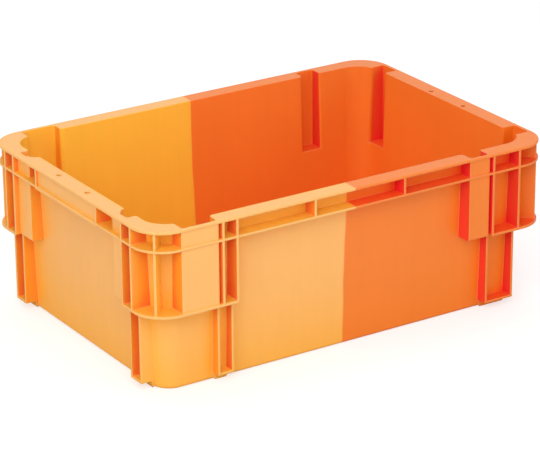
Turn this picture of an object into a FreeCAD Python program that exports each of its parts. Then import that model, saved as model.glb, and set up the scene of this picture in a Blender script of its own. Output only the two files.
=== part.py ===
import FreeCAD, Part
import os
import re
import Sketcher

# Stack and nest container, moulded in one piece. The same way round it stacks on its feet;
# turned end for end, the columns of one box slide down the channels of the other.
# Frame: +X to the dark end, -Y to the front long wall, +Z up, origin under the middle of the base.

doc = FreeCAD.newDocument("StackNestContainer")

# Millimetres and degrees. "light" and "dark" are the two ends; a place along a long wall is
# measured from the nearer end, a place along a short wall from the nearer long face.
SIZES = {
    "box_length": 530.0,
    "box_width": 366.0,
    "box_height": 195.0,
    "corner_radius": 38.0,
    "wall": 2.5,
    "floor_thickness": 3.0,
    "base_inset": 25.5,
    "base_corner_radius": 24.0,
    "base_edge_radius": 5.0,
    "floor_edge_radius": 4.0,
    "top_inset": 18.00886,
    "rim_thickness": 2.8,
    "rim_edge_radius": 1.0,
    "band_depth": 21.7,
    "flange_thickness": 2.5,
    "skirt_height": 95.6,
    "skirt_thickness": 3.0,
    "foot_height": 9.3,
    "foot_thickness": 2.5,
    "lug_depth": 3.4,
    "lug_taper": 17.0,
    "rib_thickness": 2.6,
    "light_column_inset": 12.5,
    "dark_column_inset": 10.2,
    "light_end_column_inset": 9.0,
    "nest_clearance": 2.1,
    "light_column_start": 89.4,
    "light_column_end": 109.5,
    "dark_column_start": 44.0,
    "dark_column_end": 82.6,
    "light_end_column_start": 41.0,
    "light_end_column_end": 63.0,
    "dark_end_column_end": 78.0,
    "light_end_channel_end": 87.1,
    "panel_inset": 1.5,
    "light_end_panel_inset": 6.5,
    "groove_depth": 8.0,
    "panel_edge_radius": 3.5,
    "box_bottom_radius": 3.0,
    "skirt_end_radius": 2.4,
    "inner_side_radius": 4.5,
    "corner_side_radius": 2.5,
    "end_mouth_start": 77.5,
    "end_mouth_slope": 1.28,
    "band_rib_light": 208.0,
    "band_rib_dark": 204.0,
    "hand_hold_edge": 115.5,
    "apron_inset": 3.0,
    "hand_hold_lip": 5.5,
    "lip_width": 3.2,
    "lip_drop": 2.0,
    "lip_radius": 1.2,
    "pin_hole_radius": 3.2,
    "pin_hole_spacing": 64.0,
    "pin_hole_light": 11.0,
    "pin_hole_dark": 14.0,
    "underside_border": 28.0,
    "underside_recess": 0.8,
}

sheet = doc.addObject("Spreadsheet::Sheet", "Dims")
for row, (alias, number) in enumerate(SIZES.items(), start=1):
    sheet.set(f"A{row}", alias)
    sheet.set(f"B{row}", str(number))
    sheet.setAlias(f"B{row}", alias)
doc.recompute()


def expression(text):
    """Put the sheet's name before each size named in the text."""
    return re.sub(r"[a-z_]+", lambda word: "Dims." + word.group() if word.group() in SIZES
                  else word.group(), text)


def value(text):
    return float(sheet.evalExpression(expression(text)))


def bind(item, target, text):
    item.setExpression(target, expression(text))


DRAFT = "((base_inset - top_inset) / box_height)"
DRAFT_ANGLE = f"atan({DRAFT})"
body = doc.addObject("PartDesign::Body", "ContainerBody")
body.Label = "container"
planes = {item.Role: item for item in body.Origin.OriginFeatures}


def plan_sketch(name, height):
    """A plan view at a height, with its zero at the light end's front corner."""
    sketch = body.newObject("Sketcher::SketchObject", name)
    sketch.AttachmentSupport = (planes["XY_Plane"], "")
    sketch.MapMode = "FlatFace"
    bind(sketch, "AttachmentOffset.Base.x", "-box_length / 2")
    bind(sketch, "AttachmentOffset.Base.y", "-box_width / 2")
    bind(sketch, "AttachmentOffset.Base.z", height)
    return sketch


def place_point(sketch, line, end, corner):
    """Hold one end of a line at its distances from the sketch's zero."""
    for kind, text in zip(("DistanceX", "DistanceY"), corner):
        index = sketch.addConstraint(Sketcher.Constraint(kind, -1, 1, line, end, value(text)))
        bind(sketch, f"Constraints[{index}]", text)


def polygon(sketch, corners):
    """A closed outline with every corner held by its two distances."""
    points = [FreeCAD.Vector(value(x), value(y), 0) for x, y in corners]
    first = sketch.GeometryCount
    count = len(points)
    for step, point in enumerate(points):
        sketch.addGeometry(Part.LineSegment(point, points[(step + 1) % count]), False)
    for step, corner in enumerate(corners):
        line = first + step
        after = first + (step + 1) % count
        sketch.addConstraint(Sketcher.Constraint("Coincident", line, 2, after, 1))
        place_point(sketch, line, 1, corner)


def rectangle(sketch, x_low, x_high, y_low, y_high):
    polygon(sketch, [(x_low, y_low), (x_high, y_low), (x_high, y_high), (x_low, y_high)])


def rounded_outline(sketch, corners, radii):
    """A closed outline that runs anticlockwise along X and Y, with a radius at each corner."""
    count = len(corners)
    spots = [FreeCAD.Vector(value(x), value(y), 0) for x, y in corners]
    ends = []
    for step in range(count):
        along_in = (spots[step] - spots[step - 1]).normalize()
        along_out = (spots[(step + 1) % count] - spots[step]).normalize()
        ends.append((along_in, along_out))
    lines = []
    for step in range(count):
        after = (step + 1) % count
        start = trimmed(corners[step], ends[step][1], radii[step], 1)
        finish = trimmed(corners[after], ends[after][0], radii[after], -1)
        segment = Part.LineSegment(FreeCAD.Vector(value(start[0]), value(start[1]), 0),
                                   FreeCAD.Vector(value(finish[0]), value(finish[1]), 0))
        line = sketch.addGeometry(segment, False)
        place_point(sketch, line, 1, start)
        place_point(sketch, line, 2, finish)
        lines.append(line)
    for step in range(count):
        before = lines[step - 1]
        if radii[step] is None:
            continue
        radius = value(radii[step])
        along_in, along_out = ends[step]
        start = spots[step] - along_in * radius
        finish = spots[step] + along_out * radius
        middle = start + along_out * radius
        swing = middle + (start - middle + finish - middle).normalize() * radius
        arc = sketch.addGeometry(Part.Arc(start, swing, finish), False)
        sketch.addConstraint(Sketcher.Constraint("Coincident", before, 2, arc, 1))
        sketch.addConstraint(Sketcher.Constraint("Coincident", arc, 2, lines[step], 1))
        index = sketch.addConstraint(Sketcher.Constraint("Radius", arc, radius))
        bind(sketch, f"Constraints[{index}]", radii[step])


def trimmed(corner, along, radius, sign):
    """The corner moved back along its side by the radius."""
    if radius is None:
        return corner
    moved = []
    for text, share in zip(corner, (along.x, along.y)):
        step = round(share) * sign
        moved.append(f"{text} + ({radius}) * {step}" if step else text)
    return tuple(moved)


def rounded_rectangle(sketch, inset, radius):
    far_x = f"box_length - ({inset})"
    far_y = f"box_width - ({inset})"
    corners = [(inset, inset), (far_x, inset), (far_x, far_y), (inset, far_y)]
    rounded_outline(sketch, corners, [radius] * 4)


def pad(name, sketch, length, taper=None):
    feature = body.newObject("PartDesign::Pad", name)
    feature.Profile = sketch
    bind(feature, "Length", length)
    if taper:
        bind(feature, "TaperAngle", taper)
    feature.Refine = True
    return feature


def pocket(name, sketch, length, upward, taper=None):
    """A cut from the sketch's plane, upward or down, checked by the volume that it takes."""
    before = body.Tip.Shape.Volume
    feature = body.newObject("PartDesign::Pocket", name)
    feature.Profile = sketch
    feature.Reversed = upward
    bind(feature, "Length", length)
    if taper:
        bind(feature, "TaperAngle", taper)
    feature.Refine = True
    doc.recompute()
    if feature.Shape.Volume >= before:
        raise RuntimeError(name + " cuts nothing")
    return feature


def mirror_front_to_back(name, originals):
    middle = body.newObject("PartDesign::Plane", name + "Plane")
    middle.AttachmentSupport = (planes["XZ_Plane"], "")
    middle.MapMode = "FlatFace"
    feature = body.newObject("PartDesign::Mirrored", name)
    feature.Originals = originals
    feature.MirrorPlane = (middle, [""])
    feature.Refine = True
    body.Tip = feature
    doc.recompute()
    return feature


def picked_edges(shape, picks):
    """Names of the edges whose ends reach just as far as a pick says on every axis it names.

    X runs from the light end, Y in from the nearer long face and Z up from the base.
    """
    wanted = []
    for pick in picks:
        wanted.append({axis: sorted(value(text) for text in ends) for axis, ends in pick.items()})
    half_length = value("box_length / 2")
    half_width = value("box_width / 2")
    names = []
    for number, edge in enumerate(shape.Edges, start=1):
        box = edge.BoundBox
        extents = {"x": (box.XMin + half_length, box.XMax + half_length),
                   "y": sorted((half_width - abs(box.YMin), half_width - abs(box.YMax))),
                   "z": (box.ZMin, box.ZMax)}
        for spans in wanted:
            gaps = [abs(extents[axis][end] - spans[axis][end]) for axis in spans for end in (0, 1)]
            if max(gaps) < 0.02:
                names.append(f"Edge{number}")
                break
    return names


def round_edges(name, base, radius, picks):
    """A fillet on the picked edges, at least one for each pick."""
    names = picked_edges(base.Shape, picks)
    if len(names) < len(picks):
        raise RuntimeError(f"{name} finds {len(names)} edges")
    feature = body.newObject("PartDesign::Fillet", name)
    feature.Base = (base, names)
    bind(feature, "Radius", radius)
    body.Tip = feature
    doc.recompute()
    return feature


# Heights, and how far ribs and channels run in from the outermost faces.
RIM_BOTTOM = "(box_height - rim_thickness)"
BAND_BOTTOM = "(box_height - band_depth - flange_thickness)"
LIP_BOTTOM = f"({BAND_BOTTOM} - lip_drop)"
LEDGE = "(skirt_height + skirt_thickness)"
ROOT = "(base_inset + wall)"
INSIDE = "(base_inset + wall * 2)"

# Each channel takes the matching column of a turned box with the nest clearance on both sides.
LIGHT_CHANNEL = ("(dark_column_start - nest_clearance)", "(dark_column_end + nest_clearance)")
DARK_CHANNEL = ("(box_length - light_column_end - nest_clearance)",
                "(box_length - light_column_start + nest_clearance)")
DARK_END_CHANNEL = ("(light_end_column_start - nest_clearance)",
                    "(light_end_column_end + nest_clearance)")
DARK_END_COLUMN = (DARK_END_CHANNEL[1], "dark_end_column_end")
DARK_END_COLUMN_INSET = "(light_end_panel_inset + wall + nest_clearance)"
LIGHT_END_CHANNEL = ("light_end_column_end", "light_end_channel_end")


def widened(span):
    """A channel's span with its two walls."""
    return (f"{span[0]} - wall", f"{span[1]} + wall")


def long_wall_columns():
    """The columns of the front wall as spans from the light end, with their lower insets."""
    light = ("light_column_start", "light_column_end")
    dark = ("box_length - dark_column_end", "box_length - dark_column_start")
    return [(light, "light_column_inset"), (dark, "dark_column_inset")]


def short_wall_columns():
    """The columns near the front face, with the end that carries each and its lower inset."""
    light = ("light_end_column_start", "light_end_column_end")
    return [(light, "light", "light_end_column_inset"),
            (DARK_END_COLUMN, "dark", DARK_END_COLUMN_INSET)]


def end_span(end, outer, inner):
    """A span in from the outermost face of one end."""
    if end == "light":
        return (outer, inner)
    return (f"box_length - ({inner})", f"box_length - ({outer})")


def edge_ribs(span):
    """The two ribs that bound a column."""
    low, high = span
    return [(low, f"{low} + rib_thickness"), (f"{high} - rib_thickness", high)]


# The tub: a drafted block, hollowed further down once everything outside it is in place.
tub_plan = plan_sketch("TubPlan", "0")
rounded_rectangle(tub_plan, "base_inset", "base_corner_radius")
tub = pad("Tub", tub_plan, "box_height", DRAFT_ANGLE)
doc.recompute()


def edges_at(shape, height):
    """Names of the edges that lie wholly at one height."""
    names = []
    for number, edge in enumerate(shape.Edges, start=1):
        box = edge.BoundBox
        if abs(box.ZMin - height) < 1e-4 and abs(box.ZMax - height) < 1e-4:
            names.append(f"Edge{number}")
    return names


base_edge = body.newObject("PartDesign::Fillet", "BaseEdge")
base_edge.Base = (tub, edges_at(tub.Shape, 0.0))
bind(base_edge, "Radius", "base_edge_radius")

# The rim plate and the flange below it, both over the whole outline of the box.
rim_plan = plan_sketch("RimPlan", RIM_BOTTOM)
rounded_rectangle(rim_plan, "0", "corner_radius")
rim = pad("Rim", rim_plan, "rim_thickness")
doc.recompute()

band_plan = plan_sketch("BandPlan", BAND_BOTTOM)
rounded_rectangle(band_plan, "0", "corner_radius")
for end in ("light", "dark"):
    gap = end_span(end, "hand_hold_lip", ROOT)
    rectangle(band_plan, *gap, "hand_hold_edge", "box_width - hand_hold_edge")
band = pad("BandFlange", band_plan, "flange_thickness")

# The skirt flange round each corner, which rests on the rim of a box below when nested.
skirt_plan = plan_sketch("SkirtPlan", "skirt_height")
light_corner = [("0", "0"), ("light_column_end", "0"),
                ("light_column_end", "light_end_column_end"), ("0", "light_end_column_end")]
rounded_outline(skirt_plan, light_corner, ["corner_radius", None, None, None])
dark_corner = [("box_length - dark_column_end", "0"), ("box_length", "0"),
               ("box_length", "dark_end_column_end"),
               ("box_length - dark_column_end", "dark_end_column_end")]
rounded_outline(skirt_plan, dark_corner, [None, "corner_radius", None, None])
skirt = pad("SkirtFlange", skirt_plan, "skirt_thickness")

# Upper works, from the skirt to the rim: channel boxes, column ribs and the corner ribs.
boxes_plan = plan_sketch("ChannelBoxPlan", "skirt_height")
for channel in (LIGHT_CHANNEL, DARK_CHANNEL):
    low, high = widened(channel)
    outline = [(low, "panel_inset"), (high, "panel_inset"), (high, ROOT), (low, ROOT)]
    rounded_outline(boxes_plan, outline, [None, "panel_edge_radius", None, None])
light_box = (f"{LIGHT_END_CHANNEL[0]} - wall", f"{LIGHT_END_CHANNEL[1]} + wall")
rectangle(boxes_plan, *end_span("light", "light_end_panel_inset", ROOT), *light_box)
rectangle(boxes_plan, *end_span("dark", "panel_inset", ROOT), *widened(DARK_END_CHANNEL))
boxes = pad("ChannelBoxes", boxes_plan, "box_height - skirt_height - rim_thickness / 2")

ribs_plan = plan_sketch("UpperRibPlan", "skirt_height")
for span, inset in long_wall_columns():
    for rib in edge_ribs(span):
        rectangle(ribs_plan, *rib, "0", ROOT)
for span, end, inset in short_wall_columns():
    for rib in edge_ribs(span):
        rectangle(ribs_plan, *end_span(end, "0", ROOT), *rib)
ribs = pad("UpperRibs", ribs_plan, "box_height - skirt_height - rim_thickness / 2")

corner_plan = plan_sketch("CornerRibPlan", "skirt_height")
OUTER = "(corner_radius * (1 - sqrt(0.5)) + rib_thickness / 2)"
INNER = "(base_inset + base_corner_radius * (1 - sqrt(0.5)))"
SIDE = "(rib_thickness * sqrt(0.125))"
diagonal = [(f"{OUTER} + {SIDE}", f"{OUTER} - {SIDE}"), (f"{INNER} + {SIDE}", f"{INNER} - {SIDE}"),
            (f"{INNER} - {SIDE}", f"{INNER} + {SIDE}"), (f"{OUTER} - {SIDE}", f"{OUTER} + {SIDE}")]
polygon(corner_plan, diagonal)
polygon(corner_plan, [(f"box_length - ({x})", y) for x, y in diagonal])
corner_ribs = pad("CornerRibs", corner_plan, "box_height - skirt_height - rim_thickness / 2")

# The groove between a channel box and the column next to it is closed near the tub.
groove_plan = plan_sketch("GroovePlan", "skirt_height")
light_groove = (f"{LIGHT_CHANNEL[1]} + wall / 2", "light_column_start + rib_thickness / 2")
dark_groove = (f"{DARK_CHANNEL[1]} + wall / 2", "box_length - dark_column_end + rib_thickness / 2")
rectangle(groove_plan, *light_groove, "groove_depth", ROOT)
rectangle(groove_plan, *dark_groove, "groove_depth", ROOT)
grooves = pad("GrooveFill", groove_plan, "box_height - skirt_height - rim_thickness / 2")

# Lower columns, from the foot flange up to the skirt.
column_plan = plan_sketch("LowerRibPlan", "foot_height")
foot_plan = plan_sketch("FootPlan", "foot_height")
lug_plan = plan_sketch("LugPlan", "foot_height")
LUG = "(base_inset - lug_depth)"
for span, inset in long_wall_columns():
    for rib in edge_ribs(span):
        rectangle(column_plan, *rib, inset, ROOT)
    rectangle(foot_plan, *span, inset, ROOT)
    rectangle(lug_plan, *span, LUG, ROOT)
for span, end, inset in short_wall_columns():
    for rib in edge_ribs(span):
        rectangle(column_plan, *end_span(end, inset, ROOT), *rib)
    rectangle(foot_plan, *end_span(end, inset, ROOT), *span)
    rectangle(lug_plan, *end_span(end, LUG, ROOT), *span)
lower_ribs = pad("LowerRibs", column_plan, "skirt_height - foot_height + skirt_thickness / 2")
feet = pad("FootFlanges", foot_plan, "foot_thickness")
lugs = pad("Lugs", lug_plan, "foot_height", "-lug_taper")
lugs.Reversed = True

# Ribs inside the rim band, and the outer plate of each hand hold.
band_rib_plan = plan_sketch("BandRibPlan", BAND_BOTTOM)
for middle in ("band_rib_light", "box_length - band_rib_dark"):
    rectangle(band_rib_plan, f"{middle} - rib_thickness / 2", f"{middle} + rib_thickness / 2",
              "0", ROOT)
for end in ("light", "dark"):
    rectangle(band_rib_plan, *end_span(end, "0", ROOT),
              "hand_hold_edge - rib_thickness / 2", "hand_hold_edge + rib_thickness / 2")
band_ribs = pad("BandRibs", band_rib_plan, "band_depth")

apron_plan = plan_sketch("ApronPlan", BAND_BOTTOM)
for end in ("light", "dark"):
    rectangle(apron_plan, *end_span(end, "apron_inset", "apron_inset + wall"),
              "hand_hold_edge", "box_width / 2 + wall")
apron = pad("Aprons", apron_plan, "band_depth")

# The lip below each hand hold hangs a little lower than the flange it stands on.
LIP_END = "hand_hold_edge - rib_thickness / 2"
lip_plan = plan_sketch("LipPlan", LIP_BOTTOM)
for end in ("light", "dark"):
    rectangle(lip_plan, *end_span(end, "0", "lip_width"),
              LIP_END, "box_width / 2 + wall")
lips = pad("HandHoldLips", lip_plan, "lip_drop + flange_thickness / 2")
doc.recompute()

added = [skirt, boxes, ribs, corner_ribs, grooves, lower_ribs, feet, lugs, band_ribs, apron, lips]
outside = mirror_front_to_back("OutsideBothSides", added)

# Soft corners outside: below the boxes that stand free, where the skirt ends at a rib, and
# along the foot of each hand-hold lip.
SKIRT = ("skirt_height", "skirt_height")
DARK_START = "box_length - dark_column_end"
low, high = widened(DARK_CHANNEL)
dark_bottom = {"x": (low, f"{high} - panel_edge_radius"), "y": ("panel_inset",) * 2, "z": SKIRT}
box_bottoms = round_edges("DarkBoxBottoms", outside, "box_bottom_radius", [dark_bottom])
ends = [
    {"x": ("light_column_end",) * 2, "y": ("0", "light_column_inset")},
    {"x": (DARK_START,) * 2, "y": ("0", "groove_depth")},
    {"x": (f"box_length - {DARK_END_COLUMN_INSET}", "box_length"), "y": ("dark_end_column_end",) * 2},
    {"x": ("0", "light_end_panel_inset"), "y": ("light_end_column_end",) * 2},
    {"x": ("light_end_panel_inset",) * 2, "y": ("light_end_column_end", light_box[1])},
]
for end in ends:
    end["z"] = SKIRT
skirt_ends = round_edges("SkirtEnds", box_bottoms, "skirt_end_radius", ends)
lip_edges = [{"x": (face,) * 2, "y": (LIP_END,) * 2, "z": (LIP_BOTTOM,) * 2}
             for face in ("0", "box_length")]
soft_lips = round_edges("SoftLips", skirt_ends, "lip_radius", lip_edges)

# The inside of the tub, drafted like the outside.
cavity_plan = plan_sketch("CavityPlan", "floor_thickness")
TUCK = f"(wall / cos({DRAFT_ANGLE}) - floor_thickness * {DRAFT})"
rounded_rectangle(cavity_plan, f"base_inset + {TUCK}", f"base_corner_radius - {TUCK}")
cavity = pocket("Cavity", cavity_plan, "box_height - floor_thickness", True, DRAFT_ANGLE)

floor_edge = body.newObject("PartDesign::Fillet", "FloorEdge")
floor_edge.Base = (cavity, edges_at(cavity.Shape, value("floor_thickness")))
bind(floor_edge, "Radius", "floor_edge_radius")
body.Tip = floor_edge
doc.recompute()

# The channels, open to the tub and cut from their ledges up through the rim.
channel_plan = plan_sketch("ChannelPlan", LEDGE)
DEEP = "(panel_inset + wall)"
LIGHT_END_DEEP = "(light_end_panel_inset + wall)"
for low, high in (LIGHT_CHANNEL, DARK_CHANNEL):
    rectangle(channel_plan, low, high, DEEP, INSIDE)
rectangle(channel_plan, f"box_length - {INSIDE}", f"box_length - {DEEP}", *DARK_END_CHANNEL)
low, high = LIGHT_END_CHANNEL
slope_foot = f"{LIGHT_END_DEEP} + ({high} - end_mouth_start) / end_mouth_slope"
polygon(channel_plan, [(LIGHT_END_DEEP, low), (INSIDE, low), (INSIDE, high), (slope_foot, high),
                       (LIGHT_END_DEEP, "end_mouth_start")])
channels = pocket("Channels", channel_plan, f"box_height - {LEDGE}", True)
both_channels = mirror_front_to_back("ChannelsBothSides", [channels])

# Each side of a channel is rounded into the tub's wall and into the channel's back, with a
# wider radius on the sides away from the corners.
UPRIGHT = (LEDGE, "box_height")
sides = [{"x": (side, side), "z": UPRIGHT} for side in (LIGHT_CHANNEL[1], DARK_CHANNEL[0])]
inner_sides = round_edges("InnerSides", both_channels, "inner_side_radius", sides)
sides = [{"x": (side, side), "z": UPRIGHT} for side in (LIGHT_CHANNEL[0], DARK_CHANNEL[1])]
sides += [{"y": (side, side), "z": UPRIGHT} for side in (*DARK_END_CHANNEL, *LIGHT_END_CHANNEL)]
corner_sides = round_edges("CornerSides", inner_sides, "corner_side_radius", sides)

# Round holes for lid pins in both ends of the rim, and the shallow recess under the base.
pin_plan = plan_sketch("PinPlan", "box_height")
for across in ("pin_hole_light", "box_length - pin_hole_dark"):
    for side in (-1, 1):
        along = f"box_width / 2 + {side} * pin_hole_spacing / 2"
        centre = FreeCAD.Vector(value(across), value(along), 0)
        circle = pin_plan.addGeometry(Part.Circle(centre, FreeCAD.Vector(0, 0, 1),
                                                  value("pin_hole_radius")), False)
        place_point(pin_plan, circle, 3, (across, along))
        index = pin_plan.addConstraint(Sketcher.Constraint("Radius", circle,
                                                           value("pin_hole_radius")))
        bind(pin_plan, f"Constraints[{index}]", "pin_hole_radius")
pins = pocket("PinHoles", pin_plan, "rim_thickness", False)

recess_plan = plan_sketch("UndersidePlan", "0")
rounded_rectangle(recess_plan, "base_inset + underside_border", "base_corner_radius / 2")
recess = pocket("UndersideRecess", recess_plan, "underside_recess", True)



def outline_edges(shape, height):
    """Names of the edges at one height that lie on the vertical outline of the box."""
    corner = value("corner_radius * (1 - sqrt(0.5))")
    named = []
    for name in edges_at(shape, height):
        edge = shape.getElement(name)
        middle = edge.valueAt((edge.FirstParameter + edge.LastParameter) / 2)
        inset = min(value("box_length / 2") - abs(middle.x), value("box_width / 2") - abs(middle.y))
        if min(abs(inset), abs(inset - corner)) < 0.01:
            named.append(name)
    return named


rim_edge = body.newObject("PartDesign::Fillet", "RimEdge")
rim_edge.Base = (recess, outline_edges(recess.Shape, value("box_height")))
bind(rim_edge, "Radius", "rim_edge_radius")
body.Tip = rim_edge
doc.recompute()

for item in doc.Objects:
    if "Invalid" in item.State or "Error" in item.State:
        raise RuntimeError(item.Name + " did not build")
    if item.isDerivedFrom("PartDesign::Feature") and (item.Shape.isNull() or not item.Shape.isValid()):
        raise RuntimeError(item.Name + " has no valid shape")
if len(body.Shape.Solids) != 1:
    raise RuntimeError("the container is not one solid")

os.makedirs("parts", exist_ok=True)
body.Shape.exportStep("parts/container.step")
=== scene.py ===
import math

import bpy
from mathutils import Euler, Matrix, Vector


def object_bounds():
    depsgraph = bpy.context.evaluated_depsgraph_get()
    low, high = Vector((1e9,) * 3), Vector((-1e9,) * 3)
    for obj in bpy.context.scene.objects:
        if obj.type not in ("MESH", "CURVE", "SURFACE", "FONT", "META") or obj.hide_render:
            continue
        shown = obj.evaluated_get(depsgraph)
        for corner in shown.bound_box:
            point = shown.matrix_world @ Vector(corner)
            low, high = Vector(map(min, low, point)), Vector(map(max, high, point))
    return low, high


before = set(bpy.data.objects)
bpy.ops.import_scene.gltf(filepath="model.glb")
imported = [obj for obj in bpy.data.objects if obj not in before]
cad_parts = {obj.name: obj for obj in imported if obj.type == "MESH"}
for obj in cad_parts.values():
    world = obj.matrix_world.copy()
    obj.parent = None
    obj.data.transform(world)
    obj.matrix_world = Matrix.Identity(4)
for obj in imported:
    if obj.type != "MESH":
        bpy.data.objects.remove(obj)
cad_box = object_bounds()

# The camera stands to the left of the front long wall and a little above the rim, a few steps
# back, with a long lens, so the walls look almost parallel.

CAMERA_TURN = math.radians(-32.62)
CAMERA_DOWN = math.radians(21.84)
CAMERA_ROLL = math.radians(-0.45)
CAMERA_OFFSET = Vector((-0.0002595, -0.0833116, 3.2549))
FOCAL_WIDTHS = 2795.5 / 540.0

turn = Euler((math.radians(90) - CAMERA_DOWN, 0, CAMERA_TURN)).to_matrix()
turn = turn @ Matrix.Rotation(CAMERA_ROLL, 3, "Z")
photo_camera = bpy.data.objects.new("photo_camera", bpy.data.cameras.new("photo_camera"))
photo_camera.data.sensor_width = 36.0
photo_camera.data.lens = 36.0 * FOCAL_WIDTHS
photo_camera.data.clip_end = 60.0
back_off = Vector((-CAMERA_OFFSET.x, -CAMERA_OFFSET.y, CAMERA_OFFSET.z))
photo_camera.matrix_world = Matrix.Translation(turn @ back_off) @ turn.to_4x4()
bpy.context.scene.collection.objects.link(photo_camera)
bpy.context.scene.camera = photo_camera

# The container is one moulding of two plastics, light orange at one end and deep orange at the
# other. The two melts meet near the middle in a weld line that wanders by a few millimetres.

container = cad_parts["container"]


def add_node(tree, kind, place, **inputs):
    """A node of this kind, with some of its inputs set to plain values."""
    node = tree.nodes.new(kind)
    node.location = place
    for name, given in inputs.items():
        node.inputs[name.replace("_", " ")].default_value = given
    return node


def add_math(tree, operation, place, first, second, third=None):
    """A maths node whose inputs are sockets to link or plain numbers."""
    node = tree.nodes.new("ShaderNodeMath")
    node.operation = operation
    node.location = place
    for painted_slot_shade, given in enumerate((first, second, third)):
        if isinstance(given, bpy.types.NodeSocket):
            tree.links.new(given, node.inputs[painted_slot_shade])
        elif given is not None:
            node.inputs[painted_slot_shade].default_value = given
    return node.outputs[0]


def add_mix(tree, place, share, first, second):
    """A colour mix whose colours are sockets to link or plain red, green and blue."""
    node = tree.nodes.new("ShaderNodeMix")
    node.data_type = "RGBA"
    node.location = place
    for name, given in (("Factor", share), ("A", first), ("B", second)):
        socket = next(item for item in node.inputs if item.name == name and item.enabled)
        if isinstance(given, bpy.types.NodeSocket):
            tree.links.new(given, socket)
        elif isinstance(given, tuple):
            socket.default_value = (*given, 1)
        else:
            socket.default_value = given
    return next(item for item in node.outputs if item.enabled)


def add_range(tree, place, given, low, high):
    """Spreads a value from low to high smoothly over 0 to 1."""
    node = tree.nodes.new("ShaderNodeMapRange")
    node.location = place
    node.interpolation_type = "SMOOTHSTEP"
    node.inputs["From Min"].default_value = low
    node.inputs["From Max"].default_value = high
    tree.links.new(given, node.inputs["Value"])
    return node.outputs[0]


def weld_line_group():
    """Puts out 0 in the light plastic and 1 in the deep one, and the line where they meet."""
    tree = bpy.data.node_groups.new("weld_line", "ShaderNodeTree")
    tree.interface.new_socket("Line Place", in_out="INPUT", socket_type="NodeSocketFloat")
    tree.interface.new_socket("Line Softness", in_out="INPUT", socket_type="NodeSocketFloat")
    tree.interface.new_socket("Deep", in_out="OUTPUT", socket_type="NodeSocketFloat")
    tree.interface.new_socket("Seam", in_out="OUTPUT", socket_type="NodeSocketFloat")
    given = add_node(tree, "NodeGroupInput", (-900, -300))
    out = add_node(tree, "NodeGroupOutput", (700, 0))
    place = add_node(tree, "ShaderNodeTexCoord", (-1100, 200))
    split = add_node(tree, "ShaderNodeSeparateXYZ", (-900, 200))
    tree.links.new(place.outputs["Object"], split.inputs[0])
    wander = add_node(tree, "ShaderNodeTexNoise", (-900, -50), Scale=14.0, Detail=1.5)
    tree.links.new(place.outputs["Object"], wander.inputs["Vector"])
    swing = add_math(tree, "MULTIPLY_ADD", (-600, -50), wander.outputs["Fac"], 0.006, -0.003)
    moved = add_math(tree, "ADD", (-400, 100), split.outputs["X"], swing)
    past = add_math(tree, "SUBTRACT", (-200, 100), moved, given.outputs["Line Place"])
    soft = add_math(tree, "DIVIDE", (0, 100), past, given.outputs["Line Softness"])
    deep = add_range(tree, (200, 150), soft, -1.0, 1.0)
    near = add_math(tree, "ABSOLUTE", (200, -100), soft, None)
    seam = add_math(tree, "SUBTRACT", (500, -100), 1.0, add_range(tree, (350, -100), near, 0.0, 2.0))
    tree.links.new(deep, out.inputs["Deep"])
    tree.links.new(seam, out.inputs["Seam"])
    return tree


def mould_surface_group():
    """The mould's fine grain as a height, slow cloudy changes of tone, and upright flow streaks."""
    tree = bpy.data.node_groups.new("mould_surface", "ShaderNodeTree")
    for name in ("Grain", "Cloud", "Streak"):
        tree.interface.new_socket(name, in_out="OUTPUT", socket_type="NodeSocketFloat")
    out = add_node(tree, "NodeGroupOutput", (500, 0))
    place = add_node(tree, "ShaderNodeTexCoord", (-900, 0))
    grain = add_node(tree, "ShaderNodeTexNoise", (-500, 300), Scale=1700.0, Detail=2.0)
    tree.links.new(place.outputs["Object"], grain.inputs["Vector"])
    cloud = add_node(tree, "ShaderNodeTexNoise", (-500, 0), Scale=9.0, Detail=3.0, Roughness=0.55)
    tree.links.new(place.outputs["Object"], cloud.inputs["Vector"])
    stretched = add_node(tree, "ShaderNodeMapping", (-700, -300), Scale=(1.0, 1.0, 0.06))
    tree.links.new(place.outputs["Object"], stretched.inputs["Vector"])
    streak = add_node(tree, "ShaderNodeTexNoise", (-500, -300), Scale=75.0, Detail=3.0, Roughness=0.6)
    tree.links.new(stretched.outputs[0], streak.inputs["Vector"])
    tree.links.new(grain.outputs["Fac"], out.inputs["Grain"])
    tree.links.new(cloud.outputs["Fac"], out.inputs["Cloud"])
    tree.links.new(add_range(tree, (-200, -300), streak.outputs["Fac"], 0.35, 0.7), out.inputs["Streak"])
    return tree


# Places on the moulding that its painted shade follows: the base stands in from the rim, the walls lean
# out going up, and the skirt begins half way up.

BASE_INSET = 0.0255
BASE_CORNER_RADIUS = 0.024
WALL_LEAN = 0.0384
WALL_SLACK = 0.0012
SKIRT_BOTTOM = 0.0985
BASE_HALF = {"X": cad_box[1][0] - BASE_INSET, "Y": cad_box[1][1] - BASE_INSET}
LONG_WALL_REACH = 0.245
END_COLUMN_REACH = 0.131
END_SKIRT_EXTRA = 0.05


def tub_mask(tree, spot, lean):
    """1 within the tub's outer surface, a rectangle with round corners that grows with height."""
    squares = []
    for axis in ("X", "Y"):
        away = add_math(tree, "ABSOLUTE", (-700, 200), spot.outputs[axis], None)
        beyond = add_math(tree, "SUBTRACT", (-500, 200), away, BASE_HALF[axis] - BASE_CORNER_RADIUS)
        outward = add_math(tree, "MAXIMUM", (-300, 200), beyond, 0.0)
        squares.append(add_math(tree, "MULTIPLY", (-100, 200), outward, outward))
    total = add_math(tree, "ADD", (100, 200), squares[0], squares[1])
    from_corner = add_math(tree, "SQRT", (300, 200), total, None)
    upright = add_math(tree, "SUBTRACT", (500, 200), from_corner, lean)
    return add_math(tree, "LESS_THAN", (700, 200), upright, BASE_CORNER_RADIUS - WALL_SLACK)


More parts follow.
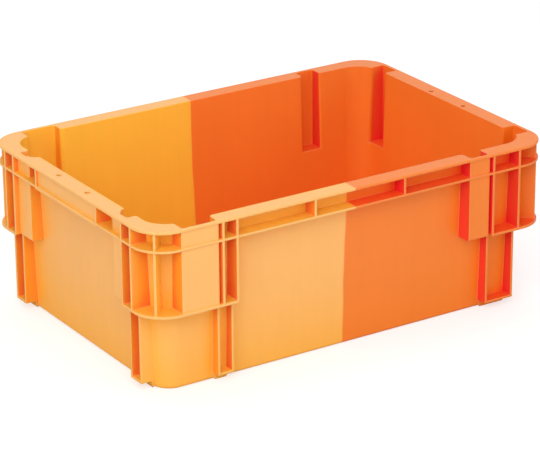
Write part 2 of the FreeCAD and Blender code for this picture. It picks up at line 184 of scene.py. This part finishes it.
def past_wall(tree, spot, axis, lean):
    """1 outside the walls that stand across this axis."""
    away = add_math(tree, "ABSOLUTE", (-700, -100), spot.outputs[axis], None)
    level = add_math(tree, "SUBTRACT", (-500, -100), away, lean)
    return add_math(tree, "GREATER_THAN", (-300, -100), level, BASE_HALF[axis] - WALL_SLACK)


def side_faces(tree, spot, facing, across, reach):
    """1 on faces square to the wall, as far along it as the reach."""
    slope = add_math(tree, "ABSOLUTE", (-700, -250), facing.outputs[across], None)
    square = add_math(tree, "GREATER_THAN", (-500, -250), slope, 0.985)
    along = add_math(tree, "ABSOLUTE", (-700, -350), spot.outputs[across], None)
    near = add_math(tree, "LESS_THAN", (-500, -350), along, reach)
    return add_math(tree, "MULTIPLY", (-300, -300), square, near)


def turned_in(tree, spot, facing, axis, least):
    """1 on faces that look back towards the middle of the container along this axis."""
    towards = add_math(tree, "MULTIPLY", (-700, -500), spot.outputs[axis], facing.outputs[axis])
    return add_math(tree, "LESS_THAN", (-500, -500), towards, -least)


def moulding_group():
    """Tells apart the inside, the sides of ribs and columns, and the floors of the pockets, where the
    material paints shade.
    """
    tree = bpy.data.node_groups.new("moulding_parts", "ShaderNodeTree")
    for name in ("Inside", "Flank", "Long Wall", "Ledge"):
        tree.interface.new_socket(name, in_out="OUTPUT", socket_type="NodeSocketFloat")
    out = add_node(tree, "NodeGroupOutput", (1100, 0))
    place = add_node(tree, "ShaderNodeTexCoord", (-1100, 0))
    spot = add_node(tree, "ShaderNodeSeparateXYZ", (-900, 200))
    tree.links.new(place.outputs["Object"], spot.inputs[0])
    facing = add_node(tree, "ShaderNodeSeparateXYZ", (-900, -200))
    tree.links.new(place.outputs["Normal"], facing.inputs[0])
    height = spot.outputs["Z"]
    lean = add_math(tree, "MULTIPLY", (-700, 0), height, WALL_LEAN)

    within = tub_mask(tree, spot, lean)
    above_base = add_math(tree, "GREATER_THAN", (700, 100), height, 0.0015)
    tub = add_math(tree, "MULTIPLY", (800, 200), within, above_base)

    beyond_long = past_wall(tree, spot, "Y", lean)
    beyond_end = past_wall(tree, spot, "X", lean)
    looks_along = turned_in(tree, spot, facing, "X", 0.15)
    looks_across = turned_in(tree, spot, facing, "Y", 0.05)
    long_channel = add_math(tree, "MULTIPLY", (-100, -400), beyond_long, looks_across)
    end_channel = add_math(tree, "MULTIPLY", (-100, -500), beyond_end, looks_along)
    channel = add_math(tree, "MAXIMUM", (100, -400), long_channel, end_channel)
    inside = add_math(tree, "MAXIMUM", (900, 200), tub, channel)

    long_sides = side_faces(tree, spot, facing, "X", LONG_WALL_REACH)
    long_flank = add_math(tree, "MULTIPLY", (-100, -200), beyond_long, long_sides)
    light_end = add_math(tree, "LESS_THAN", (-900, -600), spot.outputs["X"], 0.0)
    in_skirt = add_math(tree, "GREATER_THAN", (-900, -700), height, SKIRT_BOTTOM)
    reach = add_math(tree, "MULTIPLY_ADD", (-700, -700), in_skirt, END_SKIRT_EXTRA, END_COLUMN_REACH)
    end_reach = add_math(tree, "MULTIPLY", (-500, -700), light_end, reach)
    end_sides = side_faces(tree, spot, facing, "Y", end_reach)
    end_faces = add_math(tree, "MAXIMUM", (-200, -250), end_sides, looks_across)
    end_flank = add_math(tree, "MULTIPLY", (-100, -300), beyond_end, end_faces)
    painted_shade_flank = add_math(tree, "MAXIMUM", (900, -200), long_flank, end_flank)

    facing_up = add_math(tree, "GREATER_THAN", (500, -600), facing.outputs["Z"], 0.9)
    under_rim = add_math(tree, "LESS_THAN", (500, -700), height, 0.19)
    outside = add_math(tree, "SUBTRACT", (500, -800), 1.0, within)
    level_part = add_math(tree, "MULTIPLY", (700, -650), facing_up, under_rim)
    ledge = add_math(tree, "MULTIPLY", (900, -650), level_part, outside)

    for name, mask in (("Inside", inside), ("Flank", painted_shade_flank), ("Long Wall", long_flank), ("Ledge", ledge)):
        tree.links.new(mask, out.inputs[name])
    return tree


# Satin polypropylene, a little translucent. Shade is painted into the colour: the recesses, the gaps
# between the ribs, the flanks of ribs and boxes and the inside of the tub get deeper, redder copies of
# the plastic through ambient occlusion and the moulding_parts masks. The edges of ribs and flanges get a
# paler painted highlight. The walls carry a fine mould grain and faint marks of how the melt flowed.

plastic = bpy.data.materials.new("two_colour_polypropylene")
plastic.use_nodes = True
tree = plastic.node_tree
shader = tree.nodes["Principled BSDF"]
shader.location = (1200, 200)
tree.nodes["Material Output"].location = (1500, 200)

weld = add_node(tree, "ShaderNodeGroup", (-1500, 500))
weld.node_tree = weld_line_group()
weld.inputs["Line Place"].default_value = -0.005
weld.inputs["Line Softness"].default_value = 0.0008
mould = add_node(tree, "ShaderNodeGroup", (-1500, 0))
mould.node_tree = mould_surface_group()

parts = add_node(tree, "ShaderNodeGroup", (-1500, 250))
parts.node_tree = moulding_group()
# Painted shade: ambient occlusion marks the enclosed walls (over 16 cm) and the crevices and narrow gaps
# (over 2.2 cm, this object only). The colours below are mixed by it, deeper and redder where less light
# comes in.
enclosure = add_node(tree, "ShaderNodeAmbientOcclusion", (-1500, -300), Distance=0.16)
enclosure.samples = 8
crevice = add_node(tree, "ShaderNodeAmbientOcclusion", (-1500, -600), Distance=0.022)
crevice.samples = 8
crevice.only_local = True
openness = add_range(tree, (-1200, -300), enclosure.outputs["AO"], 0.30, 0.90)
shallow = add_range(tree, (-1200, -600), crevice.outputs["AO"], 0.08, 0.60)
open_side = add_range(tree, (-1200, -750), crevice.outputs["AO"], 0.22, 0.76)

deep = weld.outputs["Deep"]
# Each colour is mixed between the light and the deep plastic. face is the plastic's own colour. The
# shade, inside, recess, flank and slot colours are deeper, redder copies of it: painted shade on the
# enclosed walls, the inside of the tub and its channels, the recesses, the flanks of ribs and boxes, and
# the deepest slots between them.
face = add_mix(tree, (-900, 600), deep, (0.920, 0.472, 0.145), (0.865, 0.220, 0.028))
shade = add_mix(tree, (-900, 400), deep, (0.950, 0.440, 0.042), (0.865, 0.212, 0.012))
painted_inside_shade = add_mix(tree, (-900, 200), deep, (0.950, 0.520, 0.053), (0.870, 0.205, 0.026))
painted_recess_shade = add_mix(tree, (-900, 0), deep, (0.930, 0.500, 0.060), (0.950, 0.065, 0.020))
painted_shade_flank = add_mix(tree, (-900, -200), deep, (0.915, 0.310, 0.022), (0.840, 0.038, 0.028))
painted_slot_shade = add_mix(tree, (-900, -400), deep, (0.960, 0.170, 0.044), (0.900, 0.006, 0.034))
outer_walls = add_mix(tree, (-650, 500), openness, shade, face)
# Painted shade in the recesses: the crevices take the redder recess colour where their occlusion is deep,
# and the upward ledges under the rim take it too.
ledge_recess_share = add_math(tree, "MULTIPLY", (-900, 800), parts.outputs["Ledge"], 0.7)
hollow = add_math(tree, "MAXIMUM", (-700, 800), ledge_recess_share,
                  add_math(tree, "SUBTRACT", (-900, 700), 1.0, shallow))
backs = add_mix(tree, (-550, 400), hollow, outer_walls, painted_recess_shade)
# Inside the tub and its channels the painted inside shade takes over from the outer colour.
walls = add_mix(tree, (-400, 300), parts.outputs["Inside"], backs, painted_inside_shade)
# Painted shade on the flanks: the sides of the long-wall ribs, and other flanks as they get enclosed,
# take the redder flank colour. In the narrowest gaps this turns to the still redder slot colour.
enclosed = add_math(tree, "SUBTRACT", (-900, -500), 1.0, openness)
flank_shade_share = add_math(tree, "MAXIMUM", (-700, -300), parts.outputs["Long Wall"], enclosed)
open_sides = add_mix(tree, (-550, -150), flank_shade_share, outer_walls, painted_shade_flank)
sides = add_mix(tree, (-400, -100), open_side, painted_slot_shade, open_sides)
flank_share = add_math(tree, "MULTIPLY", (-700, 100), parts.outputs["Flank"], 0.9)
shaded = add_mix(tree, (-300, 200), flank_share, walls, sides)

cloud = add_math(tree, "MULTIPLY_ADD", (-1200, 100), mould.outputs["Cloud"], 0.10, 0.95)
streak = add_math(tree, "MULTIPLY_ADD", (-1200, -50), mould.outputs["Streak"], -0.018, 1.0)
tone = add_math(tree, "MULTIPLY", (-1000, 50), cloud, streak)
toned = tree.nodes.new("ShaderNodeHueSaturation")
toned.location = (-150, 300)
tree.links.new(tone, toned.inputs["Value"])
tree.links.new(shaded, toned.inputs["Color"])

# The Bevel normal rounds the edges in the shading. Compared with the flat normal it also marks the edges,
# and crevice occlusion keeps concave ones out, so the convex edges get a paler painted highlight.
rounded = tree.nodes.new("ShaderNodeBevel")
rounded.location = (-1500, -900)
rounded.samples = 6
rounded.inputs["Radius"].default_value = 0.0013
flat = tree.nodes.new("ShaderNodeNewGeometry")
flat.location = (-1500, -1100)
turned = tree.nodes.new("ShaderNodeVectorMath")
turned.operation = "DOT_PRODUCT"
turned.location = (-1200, -950)
tree.links.new(rounded.outputs[0], turned.inputs[0])
tree.links.new(flat.outputs["Normal"], turned.inputs[1])
edge = add_math(tree, "SUBTRACT", (-900, -950), 1.0,
                add_range(tree, (-1050, -950), turned.outputs["Value"], 0.80, 0.995))
convex = add_math(tree, "MULTIPLY", (-700, -900), edge, shallow)
edge_highlight_share = add_math(tree, "MULTIPLY", (-500, -900), convex, 0.85)
painted_edge_highlight = add_mix(tree, (-150, 0), deep, (0.990, 0.660, 0.260), (0.980, 0.400, 0.160))
coloured = add_mix(tree, (150, 300), edge_highlight_share, toned.outputs[0], painted_edge_highlight)
seam_share = add_math(tree, "MULTIPLY", (0, 0), weld.outputs["Seam"], 0.35)
joined = add_mix(tree, (400, 300), seam_share, coloured, (0.90, 0.21, 0.05))
tree.links.new(joined, shader.inputs["Base Color"])

roughness = add_math(tree, "MULTIPLY_ADD", (400, 0), mould.outputs["Cloud"], 0.16, 0.33)
tree.links.new(roughness, shader.inputs["Roughness"])
shader.inputs["IOR"].default_value = 1.49
shader.inputs["Specular IOR Level"].default_value = 0.35
shader.inputs["Subsurface Weight"].default_value = 0.18
shader.inputs["Subsurface Radius"].default_value = (1.0, 0.35, 0.12)
shader.inputs["Subsurface Scale"].default_value = 0.003

seam_height = add_math(tree, "MULTIPLY_ADD", (400, -250), weld.outputs["Seam"], -1.2,
                       mould.outputs["Grain"])
bump = add_node(tree, "ShaderNodeBump", (700, -200), Strength=0.28, Distance=0.00012)
tree.links.new(seam_height, bump.inputs["Height"])
tree.links.new(rounded.outputs[0], bump.inputs["Normal"])
tree.links.new(bump.outputs[0], shader.inputs["Normal"])

container.data.materials.clear()
container.data.materials.append(plastic)

# The floor and the light: a white sweep under the object, a broad lamp above the near corner, a
# warm one at the left, and weaker ones in front, at the right and above, as in a studio.

floor_mesh = bpy.data.meshes.new("floor")
floor_mesh.from_pydata([(-8, -8, 0), (8, -8, 0), (8, 8, 0), (-8, 8, 0)], [], [(0, 1, 2, 3)])
floor = bpy.data.objects.new("floor", floor_mesh)
bpy.context.scene.collection.objects.link(floor)
paper = bpy.data.materials.new("white_floor")
paper.use_nodes = True
sheet = paper.node_tree
sheet.nodes["Principled BSDF"].inputs["Roughness"].default_value = 0.9
looked_at = sheet.nodes.new("ShaderNodeLightPath")
sheet.links.new(add_mix(sheet, (-200, 200), looked_at.outputs["Is Camera Ray"],
                        (0.70, 0.70, 0.70), (0.45, 0.45, 0.45)),
                sheet.nodes["Principled BSDF"].inputs["Base Color"])
glow = sheet.nodes.new("ShaderNodeEmission")
both = sheet.nodes.new("ShaderNodeAddShader")
sheet.links.new(add_math(sheet, "MULTIPLY", (0, -300), looked_at.outputs["Is Camera Ray"], 0.62),
                glow.inputs["Strength"])
sheet.links.new(sheet.nodes["Principled BSDF"].outputs[0], both.inputs[0])
sheet.links.new(glow.outputs[0], both.inputs[1])
sheet.links.new(both.outputs[0], sheet.nodes["Material Output"].inputs["Surface"])
floor.data.materials.append(paper)


def softbox(name, place, aim, width, height, watts, colour=(1, 1, 1)):
    """A rectangular lamp at a place, turned towards what it lights."""
    lamp = bpy.data.lights.new(name, "AREA")
    lamp.shape = "RECTANGLE"
    lamp.size = width
    lamp.size_y = height
    lamp.energy = watts
    lamp.color = colour
    item = bpy.data.objects.new(name, lamp)
    item.location = place
    item.rotation_euler = (Vector(aim) - Vector(place)).to_track_quat("-Z", "Y").to_euler()
    bpy.context.scene.collection.objects.link(item)


softbox("key_light", (-1.2, -1.7, 1.8), (0, 0, 0.1), 1.6, 1.6, 28)
softbox("left_light", (-2.2, -0.7, 0.9), (0, 0, 0.1), 1.4, 1.2, 15, (1.0, 0.92, 0.68))
softbox("front_light", (0.3, -2.4, 0.6), (0, 0, 0.1), 2.0, 1.0, 9)
softbox("right_light", (1.8, -1.6, 1.2), (0, 0, 0.1), 1.2, 1.2, 5)
softbox("top_light", (0.2, 0.6, 2.2), (0, 0, 0.1), 2.0, 1.6, 16.5)

world = bpy.data.worlds.new("studio")
world.use_nodes = True
bpy.context.scene.world = world
air = world.node_tree
for node in list(air.nodes):
    air.nodes.remove(node)
path = air.nodes.new("ShaderNodeLightPath")
seen = air.nodes.new("ShaderNodeBackground")
seen.inputs["Color"].default_value = (1, 1, 1, 1)
seen.inputs["Strength"].default_value = 1.0
lit = air.nodes.new("ShaderNodeBackground")
lit.inputs["Color"].default_value = (1, 1, 1, 1)
lit.inputs["Strength"].default_value = 0.43
mixed = air.nodes.new("ShaderNodeMixShader")
out = air.nodes.new("ShaderNodeOutputWorld")
either = air.nodes.new("ShaderNodeMath")
either.operation = "MAXIMUM"
air.links.new(path.outputs["Is Camera Ray"], either.inputs[0])
air.links.new(path.outputs["Is Glossy Ray"], either.inputs[1])
air.links.new(either.outputs[0], mixed.inputs[0])
air.links.new(lit.outputs[0], mixed.inputs[1])
air.links.new(seen.outputs[0], mixed.inputs[2])
air.links.new(mixed.outputs[0], out.inputs["Surface"])

bpy.context.scene.view_settings.view_transform = "Standard"
